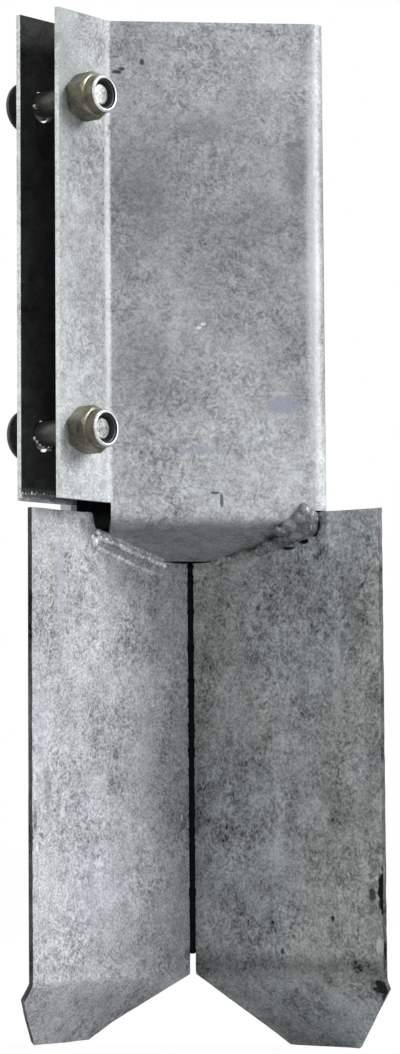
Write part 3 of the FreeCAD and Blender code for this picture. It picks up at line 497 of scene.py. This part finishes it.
# --------------------------------------------------------------------------------------------
# The welds.  Arc welds laid by hand under the floor's tabs, down the back of the blades and up
# the front wall: a row of overlapping drops of steel, each a ripple, zinc-coated with the rest.
# --------------------------------------------------------------------------------------------
def make_weld_tree():
    """Overlapping drops along a path: one flattened ball at each step, turned with the path."""
    tree = bpy.data.node_groups.new("weld_drops", "GeometryNodeTree")
    face = tree.interface
    face.new_socket("Path", in_out="INPUT", socket_type="NodeSocketGeometry")
    for label, value in (("Step", 0.0013), ("Reach", 0.002), ("Length", 0.0016),
                         ("Unevenness", 0.2), ("Wander", 0.0002), ("Lean", 0.4)):
        face.new_socket(label, in_out="INPUT", socket_type="NodeSocketFloat").default_value = value
    face.new_socket("Seed", in_out="INPUT", socket_type="NodeSocketInt").default_value = 1
    face.new_socket("Finish", in_out="INPUT", socket_type="NodeSocketMaterial")
    face.new_socket("Weld", in_out="OUTPUT", socket_type="NodeSocketGeometry")
    given = tree.nodes.new("NodeGroupInput").outputs
    line = add(tree, "GeometryNodeMeshToCurve", None, _0=given["Path"]).outputs[0]
    steps = add(tree, "GeometryNodeResampleCurve", {"mode": "LENGTH"}, Curve=line,
                Length=given["Step"]).outputs[0]
    places = add(tree, "GeometryNodeCurveToPoints", {"mode": "EVALUATED"}, Curve=steps)
    low = add(tree, "ShaderNodeCombineXYZ", None, X=calc(tree, "MULTIPLY", given["Wander"], -1.0),
              Y=calc(tree, "MULTIPLY", given["Wander"], -1.0),
              Z=calc(tree, "MULTIPLY", given["Wander"], -1.0)).outputs[0]
    high = vector_calc(tree, "SCALE", low, (0.0, 0.0, 0.0))
    high.node.inputs["Scale"].default_value = -1.0
    stray = add(tree, "FunctionNodeRandomValue", {"data_type": "FLOAT_VECTOR"}, _0=low, _1=high,
                Seed=given["Seed"]).outputs[0]
    moved = add(tree, "GeometryNodeSetPosition", None, Geometry=places.outputs["Points"],
                Offset=stray).outputs[0]
    least = calc(tree, "SUBTRACT", 1.0, given["Unevenness"])
    most = calc(tree, "ADD", 1.0, given["Unevenness"])
    chance = add(tree, "FunctionNodeRandomValue", {"data_type": "FLOAT"}, _2=least, _3=most,
                 Seed=given["Seed"]).outputs[1]
    across = calc(tree, "MULTIPLY", given["Reach"], chance)
    size = add(tree, "ShaderNodeCombineXYZ", None, X=across, Y=across, Z=given["Length"]).outputs[0]
    ball = add(tree, "GeometryNodeMeshUVSphere", None, Segments=20, Rings=12, Radius=1.0).outputs[0]
    lean = add(tree, "ShaderNodeCombineXYZ", None, X=given["Lean"], Y=0.0, Z=0.0).outputs[0]
    turned = add(tree, "FunctionNodeRotateRotation", {"rotation_space": "LOCAL"},
                 Rotation=places.outputs["Rotation"], _1=lean).outputs[0]
    drops = add(tree, "GeometryNodeInstanceOnPoints", None, Points=moved, Instance=ball,
                Rotation=turned, Scale=size).outputs[0]
    whole = add(tree, "GeometryNodeRealizeInstances", None, Geometry=drops).outputs[0]
    made = add(tree, "GeometryNodeSetMaterial", None, Geometry=whole,
               Material=given["Finish"]).outputs[0]
    out = tree.nodes.new("NodeGroupOutput")
    tree.links.new(made, out.inputs["Weld"])
    return tree


def run_tree(thing, tree, **values):
    """Give an object a tree of nodes with its sizes, each set by its socket's identifier."""
    grow = thing.modifiers.new(tree.name, "NODES")
    grow.node_group = tree
    for item in tree.interface.items_tree:
        if item.in_out == "INPUT" and item.name in values:
            grow[item.identifier] = values[item.name]


def fuse(thing, cell, rounds):
    """Melt overlapping drops into one skin."""
    melt = thing.modifiers.new("melt", "REMESH")
    melt.mode = "VOXEL"
    melt.voxel_size = cell
    melt.use_smooth_shade = True
    flow = thing.modifiers.new("flow", "SMOOTH")
    flow.factor = 0.5
    flow.iterations = rounds


def craze(thing, depth):
    """Give a weld the knobs and pits of spatter that has set."""
    outward = [corner.normal.copy() for corner in thing.data.vertices]
    for corner, way in zip(thing.data.vertices, outward):
        spot = corner.co * 380
        knob = noise.noise(spot) + 0.5 * noise.noise(spot * 2.1)
        corner.co += way * knob * depth


def lay_weld(name, path, nodes, skin, cell=0.0003, rounds=2, extra=(), knobs=0.0, **values):
    """One weld along a path, with any extra drops given as (centre, reach) pairs."""
    line = bpy.data.meshes.new(name)
    links = [(n, n + 1) for n in range(len(path) - 1)]
    line.from_pydata([tuple(point) for point in path], links, [])
    weld = bpy.data.objects.new(name, line)
    bpy.context.scene.collection.objects.link(weld)
    run_tree(weld, weld_tree, Finish=skin, **values)
    settle(weld)
    if extra:
        drops = bmesh.new()
        drops.from_mesh(weld.data)
        for centre, reach in extra:
            shape = Matrix.Translation(centre) @ Matrix.Diagonal((*reach, 1))
            bmesh.ops.create_uvsphere(drops, u_segments=24, v_segments=16, radius=1, matrix=shape)
        drops.to_mesh(weld.data)
        drops.free()
    fuse(weld, cell, rounds)
    settle(weld)
    craze(weld, knobs)
    weld.data.materials.clear()
    weld.data.materials.append(skin)
    weld.data.shade_smooth()
    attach(weld, "root")
    if nodes:
        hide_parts(*nodes)


weld_tree = make_weld_tree()
# Near-black marks along the left seam's groove are painted shade.
groove = [(0.0470 - 0.0041 * n, -0.0095 - 0.000682 * n, 0.0034, 0.00085, (0.05, 0.05, 0.05),
           0.9, 0.8, 0.7) for n in range(7)]
weld_zinc = dip_in_zinc(
    "weld_zinc", (0.78, 0.8, 0.81), (0.6, 0.62, 0.63), cloud=0.3, speckle=0.6, fineness=700.0,
    metal=0.45, gloss=0.36, relief=0.0001, marks=blade_marks(-1, groove))
dark_weld_zinc = dip_in_zinc(
    "heavy_weld_zinc", (0.33, 0.34, 0.33), (0.2, 0.21, 0.21), cloud=0.4, speckle=0.55,
    fineness=650.0, metal=0.3, gloss=0.38, relief=0.00015)


TAB_TIP = 0.0126


def under_tab(side, along, off):
    """The underside of a floor tab over a blade's front, off the plate's middle."""
    spot = on_blade(side, along, 0.0, off)
    low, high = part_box("sleeve")
    fall = low[2] / (high[1] - TAB_TIP)
    spot.z = fall * (high[1] + spot.y)
    return spot


def along_rows(rows, count):
    """Places at even steps along a line of (distance, level) pairs."""
    for n in range(count):
        share = n / (count - 1) * (len(rows) - 1)
        first = min(int(share), len(rows) - 2)
        (a, b), (c, d) = rows[first], rows[first + 1]
        yield a + (c - a) * (share - first), b + (d - b) * (share - first)


# The left seam is two bright ridges with a groove between them, darkened with painted shade.
upper_row = ((0.0560, -0.0052), (0.0515, -0.0060), (0.0457, -0.0072), (0.037, -0.0095),
             (0.0282, -0.0117), (0.0190, -0.0137))
lower_row = ((0.0562, -0.0090), (0.0457, -0.0114), (0.0312, -0.0152), (0.0193, -0.0174))
body = [(on_blade(-1, a, b + 0.0018, 0.0014), (0.0014, 0.0014, 0.0016))
        for a, b in along_rows(upper_row, 26)]
body += [(on_blade(-1, a, b, 0.0012), (0.0011, 0.0011, 0.0009 + 0.0003 * math.sin(a * 2900)))
         for a, b in along_rows(lower_row, 30)]
body += [(on_blade(-1, a, b - 0.0020, 0.0001), (0.0009, 0.0009, 0.0012))
         for a, b in along_rows(upper_row, 26)]
body += [(on_blade(-1, 0.0575, -0.0070, 0.0014), (0.0016, 0.0016, 0.0022)),
         (on_blade(-1, 0.0590, -0.0050, 0.0010), (0.0012, 0.0012, 0.0012))]
lay_weld("left_seam", [on_blade(-1, a, b, 0.0024) for a, b in along_rows(upper_row, 13)],
         ["left_seam_weld"], weld_zinc, extra=body, knobs=0.00012, Step=0.0017, Reach=0.0012,
         Length=0.0012, Unevenness=0.22, Wander=0.0002, Lean=0.5, Seed=4)

# Each back seam follows the line under a tab, carried round to the back of its blade.
sunk = Vector((0, 0, 0.0008))
back_line = [under_tab(-1, 0.0175 + 0.027 * n / 8, 0.0022) for n in range(9)]
back_sizes = {"Step": 0.0016, "Reach": 0.0021, "Length": 0.0013, "Unevenness": 0.15,
              "Wander": 0.0002, "Lean": 0.5}
lay_weld("left_back_seam", [Vector((spot.y, spot.x, spot.z)) - sunk for spot in back_line],
         ["left_back_weld"], weld_zinc, Seed=9, **back_sizes)
lay_weld("right_back_seam", [Vector((-spot.y, spot.x, spot.z)) - sunk for spot in back_line],
         ["right_back_weld"], weld_zinc, Seed=13, **back_sizes)

# The right seam is heavier, and ends in a mound of spatter that climbs the front wall.
heavy_row = ((0.0150, -0.0118), (0.0259, -0.0108), (0.0357, -0.0092), (0.0455, -0.0070),
             (0.0527, -0.0048), (0.0575, -0.0020))
mound = (((0.0388, -0.0476, 0.0042), (0.0027, 0.0030, 0.0036)),
         ((0.0412, -0.0472, 0.0018), (0.0032, 0.0036, 0.0036)),
         ((0.0372, -0.0476, 0.0012), (0.0036, 0.0030, 0.0036)),
         ((0.0338, -0.0476, -0.0012), (0.0038, 0.0024, 0.0024)),
         ((0.0300, -0.0468, -0.0032), (0.0036, 0.0022, 0.0018)),
         ((0.0402, -0.0462, -0.0020), (0.0040, 0.0040, 0.0030)),
         ((0.0365, -0.0435, -0.0042), (0.0044, 0.0038, 0.0028)),
         ((0.0325, -0.0395, -0.0058), (0.0042, 0.0036, 0.0026)),
         ((0.0285, -0.0350, -0.0072), (0.0036, 0.0034, 0.0024)))
lay_weld("right_seam", [on_blade(1, a, b, 0.0022) for a, b in along_rows(heavy_row, 13)],
         ["right_seam_weld"], dark_weld_zinc, cell=0.00033, extra=mound, knobs=0.00055,
         Step=0.0022, Reach=0.0023, Length=0.0018, Unevenness=0.3, Wander=0.0006, Lean=0.6, Seed=21)

spine_low, spine_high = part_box("spine_weld")
SPINE_DEPTH, SPINE_END = 0.0024, 0.0012
spine_tall = spine_high[2] - spine_low[2] - 2 * SPINE_END
spine_path = [Vector((0, spine_high[1] - SPINE_DEPTH, spine_low[2] + SPINE_END
                      + spine_tall * n / 20)) for n in range(21)]
# The near-black mark over the spine weld's front is painted shade in the slit between the blades.
spine_zinc_and_slit_shade = dip_in_zinc(
    "spine_weld_zinc_and_slit_shade", (0.48, 0.5, 0.51), (0.36, 0.37, 0.38), cloud=0.3, speckle=0.5,
    fineness=700.0, metal=0.3, gloss=0.4, relief=0.0002,
    marks=(((0.0, -0.0075, -0.09), (0.012, 0.009, 0.5), (0.006, 0.006, 0.007), 1.0, 0.1, 0.2),))
lay_weld("spine_seam", spine_path, ["spine_weld"], spine_zinc_and_slit_shade, cell=0.0004, Step=0.0019,
         Reach=0.0023, Length=0.0016, Unevenness=0.12, Wander=0.0002, Lean=0.5, Seed=31)

# --------------------------------------------------------------------------------------------
# Zinc that set where it ran together: a ragged frill along the back flange's foot, and beads
# at the edges of that flange's holes.  It is the brightest finish on the base.
# --------------------------------------------------------------------------------------------
FLANGE_FOOT_GAP, FLANGE_TIP, SPLAY = -0.0087, 0.0882, math.radians(1.6)
FRILL_START, FRILL_STEP, FRILL_FOOT = 0.0878, 0.00082, 0.0078


def on_back_flange(along, level, off=0.0003):
    """A place on the inner face of the back flange."""
    across = FLANGE_FOOT_GAP + (FLANGE_TIP - along) * math.tan(SPLAY) + off
    return DIAGONAL * along + CROSSWISE * across + Vector((0, 0, level))


frill = []
for n in range(34):
    along = FRILL_START - n * FRILL_STEP
    tall = 0.0012 + 0.0016 * max(0.0, noise.noise(Vector((n * 0.55, 4.2, 0)))) + 0.0005 * (n % 2)
    frill.append((on_back_flange(along, FRILL_FOOT + tall * 0.8), (0.0007, 0.0007, tall)))
for along, level, wide, tall in (
        (0.0802, 0.1571, 0.0013, 0.0008), (0.0786, 0.1567, 0.0015, 0.0009),
        (0.0768, 0.1560, 0.0013, 0.0009), (0.0729, 0.1534, 0.0010, 0.0010),
        (0.0806, 0.0312, 0.0010, 0.0009), (0.0792, 0.0300, 0.0010, 0.0007),
        (0.0775, 0.0290, 0.0011, 0.0006), (0.0757, 0.0284, 0.0011, 0.0006),
        (0.0738, 0.0279, 0.0010, 0.0006), (0.0720, 0.0276, 0.0010, 0.0006)):
    frill.append((on_back_flange(along, level), (wide * 0.7, wide * 0.7, tall)))
frill_path = [on_back_flange(FRILL_START - 0.0275 * n / 10, 0.0083) for n in range(11)]
lay_weld("zinc_frill", frill_path, [], clean_zinc_and_highlight, cell=0.00028, rounds=1, extra=frill,
         knobs=0.0001, Step=0.0018, Reach=0.0007, Length=0.0012, Unevenness=0.3, Wander=0.0001,
         Lean=0.1, Seed=17)

# --------------------------------------------------------------------------------------------
# The bolts.  M10 cup-head bolts of zinc-plated steel with a rolled thread, through both
# flanges.  A square neck under the head keeps each from turning.  The head and shank are
# coloured near-black as painted shade, and the tip shows bright in the nut.
# --------------------------------------------------------------------------------------------
def reach_of(name, way):
    """How far a CAD node extends along a direction, at both ends."""
    steps = [corner.co.dot(way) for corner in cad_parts[name].data.vertices]
    return min(steps), max(steps)


def bolt_frame(level):
    """The bolt's own axes: z along the bolt, x upright, with its foot on the diagonal plane."""
    low, high = (Vector(corner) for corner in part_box(level + "_nut_insert"))
    middle = (low + high) / 2
    foot = middle - CROSSWISE * middle.dot(CROSSWISE)
    axes = Matrix((Vector((0, 0, 1)), DIAGONAL, CROSSWISE)).transposed().to_4x4()
    return Matrix.Translation(foot) @ axes


def turn_profile(surface, profile, segments=64):
    """Turn a closed profile of (radius, height) pairs round the z axis."""
    rings = []
    for step in range(segments):
        angle = 2 * math.pi * step / segments
        rings.append([surface.verts.new((r * math.cos(angle), r * math.sin(angle), z))
                      for r, z in profile])
    for step in range(segments):
        here, there = rings[step], rings[(step + 1) % segments]
        for n in range(len(profile)):
            m = (n + 1) % len(profile)
            surface.faces.new((here[n], there[n], there[m], here[m]))
    bmesh.ops.remove_doubles(surface, verts=surface.verts, dist=1e-7)


def make_thread_tree():
    """A rolled thread: a ridge wound round a core, with its ends sunk in the bolt."""
    tree = bpy.data.node_groups.new("rolled_thread", "GeometryNodeTree")
    face = tree.interface
    face.new_socket("Bolt", in_out="INPUT", socket_type="NodeSocketGeometry")
    for label, value in (("Start", 0.0), ("Turns", 10.0), ("Pitch", 0.0015), ("Core", 0.0041),
                         ("Ridge", 0.0008)):
        face.new_socket(label, in_out="INPUT", socket_type="NodeSocketFloat").default_value = value
    face.new_socket("Finish", in_out="INPUT", socket_type="NodeSocketMaterial")
    face.new_socket("Threaded", in_out="OUTPUT", socket_type="NodeSocketGeometry")
    given = tree.nodes.new("NodeGroupInput").outputs
    tall = calc(tree, "MULTIPLY", given["Turns"], given["Pitch"])
    coil = add(tree, "GeometryNodeCurveSpiral", None, Resolution=36, Rotations=given["Turns"],
               Start_Radius=given["Core"], End_Radius=given["Core"], Height=tall).outputs[0]
    ridge = add(tree, "GeometryNodeCurvePrimitiveCircle", {"mode": "RADIUS"}, Resolution=4,
                Radius=given["Ridge"]).outputs[0]
    wound = add(tree, "GeometryNodeCurveToMesh", None, Curve=coil, Profile_Curve=ridge,
                Fill_Caps=True).outputs[0]
    rise = add(tree, "ShaderNodeCombineXYZ", None, X=0.0, Y=0.0, Z=given["Start"]).outputs[0]
    lifted = add(tree, "GeometryNodeTransform", None, Geometry=wound, Translation=rise).outputs[0]
    joined = tree.nodes.new("GeometryNodeJoinGeometry")
    tree.links.new(lifted, joined.inputs[0])
    tree.links.new(given["Bolt"], joined.inputs[0])
    whole = add(tree, "GeometryNodeRealizeInstances", None, Geometry=joined.outputs[0]).outputs[0]
    made = add(tree, "GeometryNodeSetMaterial", None, Geometry=whole,
               Material=given["Finish"]).outputs[0]
    out = tree.nodes.new("NodeGroupOutput")
    tree.links.new(made, out.inputs["Threaded"])
    return tree


thread_tree = make_thread_tree()
# The bolt's head and shank are coloured near-black as painted shade; the tip keeps the zinc's own
# colour.
bolt_zinc_painted_shade = dip_in_zinc(
    "bolt_zinc_painted_shade", (0.1, 0.1, 0.09), (0.14, 0.14, 0.12), cloud=0.3, speckle=0.4, fineness=700.0,
    metal=0.5, gloss=0.4, relief=0.00005)
bolt_tip = dip_in_zinc(
    "bolt_tip_zinc", (0.55, 0.57, 0.56), (0.34, 0.35, 0.34), cloud=0.4, speckle=1.0,
    fineness=1100.0, metal=0.6, gloss=0.4, relief=0.00012)

HEAD_RADIUS, HEAD_RIM, NECK, NECK_TALL, SHANK_RADIUS = 0.0096, 0.0009, 0.0099, 0.0068, 0.0049
UNDER_HEAD, THREAD_START, THREAD_PITCH, THREAD_CORE = 0.0382, 0.0045, 0.0015, 0.00425
TIP_TALL = 0.0013
for level in ("lower", "upper"):
    place = bolt_frame(level)
    crown, tip = reach_of(level + "_bolt", CROSSWISE)
    under = tip - UNDER_HEAD
    rim = under - HEAD_RIM
    bolt = bmesh.new()
    cup = [(HEAD_RADIUS * math.sin(math.radians(turn)),
            rim - (rim - crown) * math.cos(math.radians(turn)) ** 1.6) for turn in range(6, 90, 6)]
    head = [(0.0, crown)] + cup + [(HEAD_RADIUS, rim), (HEAD_RADIUS, under - 0.0002),
                                   (HEAD_RADIUS - 0.0002, under), (0.0, under)]
    turn_profile(bolt, head, 72)
    shank = [(0.0, under), (SHANK_RADIUS, under), (SHANK_RADIUS, 0.0035), (0.0043, THREAD_START),
             (0.0043, tip - 0.0012), (0.0036, tip - 0.0001), (0.0028, tip), (0.0, tip)]
    turn_profile(bolt, shank, 48)
    reach = Matrix.Diagonal((NECK, NECK, NECK_TALL, 1))
    raised = Matrix.Translation((0, 0, under + NECK_TALL / 2)) @ reach
    neck = bmesh.ops.create_cube(bolt, size=1, matrix=raised)
    corners = {edge for vert in neck["verts"] for edge in vert.link_edges}
    bmesh.ops.bevel(bolt, geom=list(corners), offset=0.0006, segments=2, affect="EDGES",
                    profile=0.5)
    bmesh.ops.recalc_face_normals(bolt, faces=bolt.faces)
    mesh = bpy.data.meshes.new(level + "_cup_bolt")
    bolt.to_mesh(mesh)
    bolt.free()
    thing = bpy.data.objects.new(level + "_cup_bolt", mesh)
    bpy.context.scene.collection.objects.link(thing)
    turns = math.floor((tip - 0.0016 - THREAD_START) / THREAD_PITCH)
    run_tree(thing, thread_tree, Start=THREAD_START, Turns=float(turns), Pitch=THREAD_PITCH,
             Core=THREAD_CORE, Ridge=0.0007, Finish=bolt_zinc_painted_shade)
    settle(thing)
    thing.data.materials.clear()
    thing.data.materials.append(bolt_zinc_painted_shade)
    thing.data.materials.append(bolt_tip)
    for polygon in thing.data.polygons:
        polygon.use_smooth = True
        polygon.material_index = 1 if polygon.center.z > tip - TIP_TALL else 0
    thing.data.transform(place)
    thing.data.set_sharp_from_angle(angle=math.radians(38))
    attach(thing, "root")
    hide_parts(level + "_bolt")

# --------------------------------------------------------------------------------------------
# The lock nuts.  M10 steel hexagons, forged and zinc-plated, with a collar rolled over a ring
# of dark plastic that grips the thread.  Their seats' chamfers carry painted shade and the collars'
# lips a painted highlight.
# --------------------------------------------------------------------------------------------
nut_zinc = dip_in_zinc(
    "nut_zinc", (0.2, 0.195, 0.14), (0.36, 0.35, 0.29), cloud=0.35, speckle=0.4, fineness=600.0,
    metal=0.6, gloss=0.36, relief=0.00006)
ring_plastic = bpy.data.materials.new("ring_plastic")
ring_plastic.use_nodes = True
tree = ring_plastic.node_tree
shader = tree.nodes["Principled BSDF"]
place = add(tree, "ShaderNodeTexCoord").outputs["Object"]
smear = spread(tree, clouds(tree, place, 900.0, 3.0), 0.35, 0.65, 0.0, 1.0)
paint = mix_colours(tree, smear, (0.008, 0.009, 0.014, 1), (0.02, 0.022, 0.03, 1))
tree.links.new(paint, shader.inputs["Base Color"])
tree.links.new(spread(tree, smear, 0.0, 1.0, 0.35, 0.6), shader.inputs["Roughness"])
tree.links.new(add(tree, "ShaderNodeBump", None, Strength=0.4, Distance=0.0001, Height=smear)
               .outputs["Normal"], shader.inputs["Normal"])

FLATS, HEX_TALL, COLLAR, LIP, MOUTH, BORE = 0.016, 0.008, 0.0072, 0.0062, 0.0057, 0.00455
AROUND, CHAMFER, NUT_TURN = 120, math.tan(math.radians(32)), math.radians(12)
# The seat's chamfer takes the dark finish as painted shade, and the collar's rolled lip the clean
# zinc as a painted highlight.
SEAT_SHADE, LIP_HIGHLIGHT = 1, 2
SKIN_BY_ROW = {1: SEAT_SHADE, 2: SEAT_SHADE, 9: LIP_HIGHLIGHT, 10: LIP_HIGHLIGHT, 11: LIP_HIGHLIGHT}
for level in ("lower", "upper"):
    place = bolt_frame(level)
    seat, top = reach_of(level + "_nut", CROSSWISE)
    room_low, room_high = reach_of(level + "_nut_insert", CROSSWISE)
    nut = bmesh.new()
    rings = []
    for step in range(AROUND):
        angle = 2 * math.pi * step / AROUND
        flat_radius = FLATS / 2 / math.cos((step % 20 - 10) * math.pi / 60)
        start = FLATS / 2 * 0.985
        lost = max(0.0, flat_radius - start) * CHAMFER
        edge = min(flat_radius, FLATS / 2 * 1.135)
        profile = [(BORE + 0.0006, seat), (start - 0.0004, seat), (start, seat + 0.0002),
                   (edge, seat + lost), (edge, seat + HEX_TALL - lost),
                   (start, seat + HEX_TALL), (COLLAR + 0.0002, seat + HEX_TALL + 0.0001),
                   (COLLAR, seat + HEX_TALL + 0.0005), (COLLAR, top - 0.0011),
                   (COLLAR - 0.0002, top - 0.0006), (COLLAR - 0.0006, top - 0.0002),
                   (LIP, top), (MOUTH + 0.0001, top - 0.0001), (MOUTH, top - 0.0004),
                   (MOUTH + 0.0001, top - 0.0008), (0.0062, top - 0.0009), (0.0062, room_low),
                   (BORE, room_low), (BORE, seat + 0.0007)]
        turn = angle + NUT_TURN
        rings.append([nut.verts.new((r * math.cos(turn), r * math.sin(turn), z))
                      for r, z in profile])
    for step in range(AROUND):
        here, there = rings[step], rings[(step + 1) % AROUND]
        for n in range(len(here)):
            m = (n + 1) % len(here)
            face = nut.faces.new((here[n], there[n], there[m], here[m]))
            face.material_index = SKIN_BY_ROW.get(n, 0)
    bmesh.ops.remove_doubles(nut, verts=nut.verts, dist=1e-6)
    bmesh.ops.recalc_face_normals(nut, faces=nut.faces)
    nut.transform(place)
    piece = make_piece(level + "_lock_nut", nut, nut_zinc, sheared_edge_and_seat_shade, clean_zinc_and_highlight)
    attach(piece, "root")
    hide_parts(level + "_nut")

    ring = bmesh.new()
    turn_profile(ring, [(0.0061, room_low + 0.0001), (0.0061, top - 0.001),
                        (0.0056, top - 0.0008), (0.0051, top - 0.0010),
                        (0.0046, room_high - 0.0004), (0.0044, room_high - 0.0012),
                        (0.0044, room_low + 0.0001)], 64)
    bmesh.ops.recalc_face_normals(ring, faces=ring.faces)
    ring.transform(place)
    piece = make_piece(level + "_lock_ring", ring, ring_plastic)
    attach(piece, "root")
    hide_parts(level + "_nut_insert")

# --------------------------------------------------------------------------------------------
# Where it stands.  A white room and a white floor that keeps the base's shadow, a soft key lamp
# high on the right, a tall strip lamp beside the viewer, and the viewer in front, far off.
# --------------------------------------------------------------------------------------------
azimuth, elevation, roll = (math.radians(angle) for angle in (-5.636, -4.631, -0.404))
towards = Vector((math.sin(azimuth) * math.cos(elevation), -math.cos(azimuth) * math.cos(elevation),
                  math.sin(elevation)))
across = (-towards).cross(Vector((0, 0, 1))).normalized()
upward = across.cross(-towards)
eye = towards * 1.25373 + across * 0.004153 + Vector((0, 0, 0.002162))
side = across * math.cos(roll) + upward * math.sin(roll)
top = upward * math.cos(roll) - across * math.sin(roll)
camera = bpy.data.objects.new("camera", bpy.data.cameras.new("camera"))
camera.data.sensor_fit = "HORIZONTAL"
camera.data.sensor_width = 36
camera.data.lens = 288.8226
camera.data.clip_start = 0.05
camera.matrix_world = Matrix((
    (side.x, top.x, towards.x, eye.x),
    (side.y, top.y, towards.y, eye.y),
    (side.z, top.z, towards.z, eye.z),
    (0, 0, 0, 1)))
bpy.context.scene.collection.objects.link(camera)
bpy.context.scene.camera = camera

white = bpy.data.worlds.new("white_room")
white.use_nodes = True
tree = white.node_tree
tree.nodes.clear()
rays = tree.nodes.new("ShaderNodeLightPath")
mirrored = calc(tree, "MAXIMUM", rays.outputs["Is Transmission Ray"], rays.outputs["Is Glossy Ray"])
either = calc(tree, "MAXIMUM", rays.outputs["Is Camera Ray"], mirrored)
room = tree.nodes.new("ShaderNodeBackground")
room.inputs["Color"].default_value = (0.95, 0.97, 1, 1)
room.inputs["Strength"].default_value = 0.28
seen = tree.nodes.new("ShaderNodeBackground")
seen.inputs["Color"].default_value = (1, 1, 1, 1)
seen.inputs["Strength"].default_value = 1
mix = tree.nodes.new("ShaderNodeMixShader")
out = tree.nodes.new("ShaderNodeOutputWorld")
tree.links.new(either, mix.inputs[0])
tree.links.new(room.outputs[0], mix.inputs[1])
tree.links.new(seen.outputs[0], mix.inputs[2])
tree.links.new(mix.outputs[0], out.inputs["Surface"])
bpy.context.scene.world = white


def hang_lamp(name, direction, distance, size, power):
    """A square lamp that points at the middle of the base."""
    lamp = bpy.data.lights.new(name, "AREA")
    lamp.size = size
    lamp.energy = power
    holder = bpy.data.objects.new(name, lamp)
    aim = Vector(direction).normalized()
    holder.location = aim * distance
    holder.rotation_euler = aim.to_track_quat("Z", "Y").to_euler()
    bpy.context.scene.collection.objects.link(holder)
    return holder


hang_lamp("key_lamp", (0.69, -0.3, 0.46), 1.6, 0.6, 20)
strip = hang_lamp("strip_lamp", (0.765, -0.62, 0.05), 1.5, 0.1, 2.2)
strip.data.shape = "RECTANGLE"
strip.data.size_y = 1.6

plate = bpy.data.meshes.new("floor")
level = cad_box[0][2] - 0.0002
corners = [(-4, -4, level), (4, -4, level), (4, 4, level), (-4, 4, level)]
plate.from_pydata(corners, [], [(0, 1, 2, 3)])
floor = bpy.data.objects.new("floor", plate)
bpy.context.scene.collection.objects.link(floor)
paint = bpy.data.materials.new("floor_paint")
paint.use_nodes = True
tree = paint.node_tree
base = tree.nodes["Principled BSDF"]
base.inputs["Base Color"].default_value = (0.85, 0.85, 0.85, 1)
base.inputs["Roughness"].default_value = 0.9
glow = tree.nodes.new("ShaderNodeEmission")
glow.inputs["Color"].default_value = (1, 1, 1, 1)
glow.inputs["Strength"].default_value = 1.06
mix = tree.nodes.new("ShaderNodeMixShader")
rays = tree.nodes.new("ShaderNodeLightPath")
tree.links.new(calc(tree, "MULTIPLY", rays.outputs["Is Camera Ray"], 0.9), mix.inputs[0])
tree.links.new(base.outputs[0], mix.inputs[1])
tree.links.new(glow.outputs[0], mix.inputs[2])
tree.links.new(mix.outputs[0], tree.nodes["Material Output"].inputs["Surface"])
plate.materials.append(paint)

bpy.context.scene.view_settings.view_transform = "Standard"
